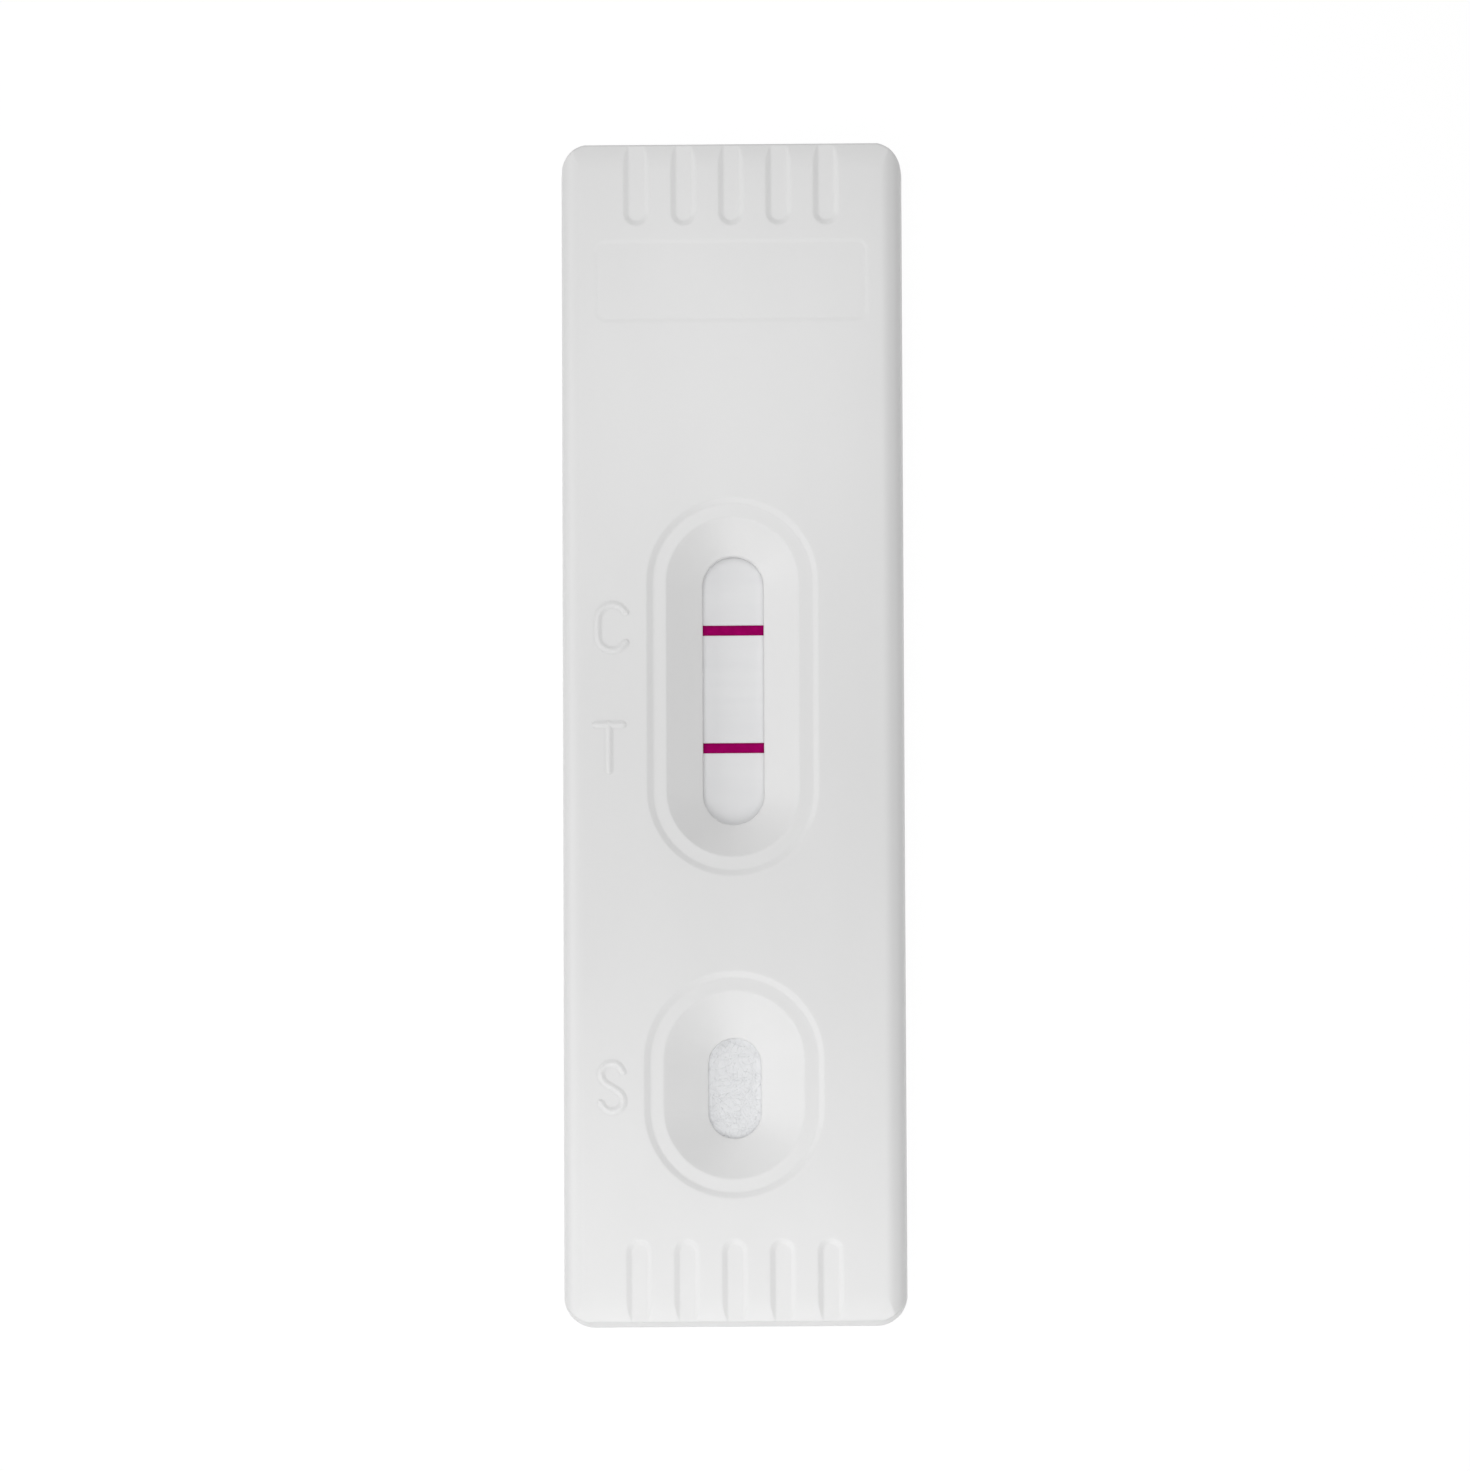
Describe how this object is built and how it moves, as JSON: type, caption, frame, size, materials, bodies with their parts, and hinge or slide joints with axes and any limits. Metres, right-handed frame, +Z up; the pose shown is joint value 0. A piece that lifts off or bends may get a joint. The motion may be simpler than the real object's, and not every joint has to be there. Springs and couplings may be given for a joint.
{
  "type": "lateral flow cassette",
  "caption": "Flat white plastic test cassette with a funnelled reading window and sample well, grooved grip ends and a layered paper test strip held inside.",
  "frame": {"origin": "centre of the flat underside, on the surface that the cassette lies on", "axes": "+Z up through the roof, +Y along the strip from the sample well towards the absorbent end, +X across"},
  "size_m": [0.02, 0.07, 0.0042],
  "materials": {
    "housing_plastic": "moulded white polystyrene, fine satin",
    "card_vinyl": "smooth white vinyl sheet",
    "membrane_white": "matt porous membrane",
    "line_dye": "matt magenta dye in the membrane",
    "conjugate_fibre": "glass fibre with faint pink dried dye",
    "pad_fibre": "matt pressed fibre"
  },
  "bodies": {
    "root": {"lower_housing": "housing_plastic", "upper_housing": "housing_plastic", "backing_card": "card_vinyl", "membrane": "membrane_white", "control_line": "line_dye", "test_line": "line_dye", "conjugate_pad": "conjugate_fibre", "sample_pad": "pad_fibre", "absorbent_pad": "pad_fibre"}
  },
  "joints": []
}
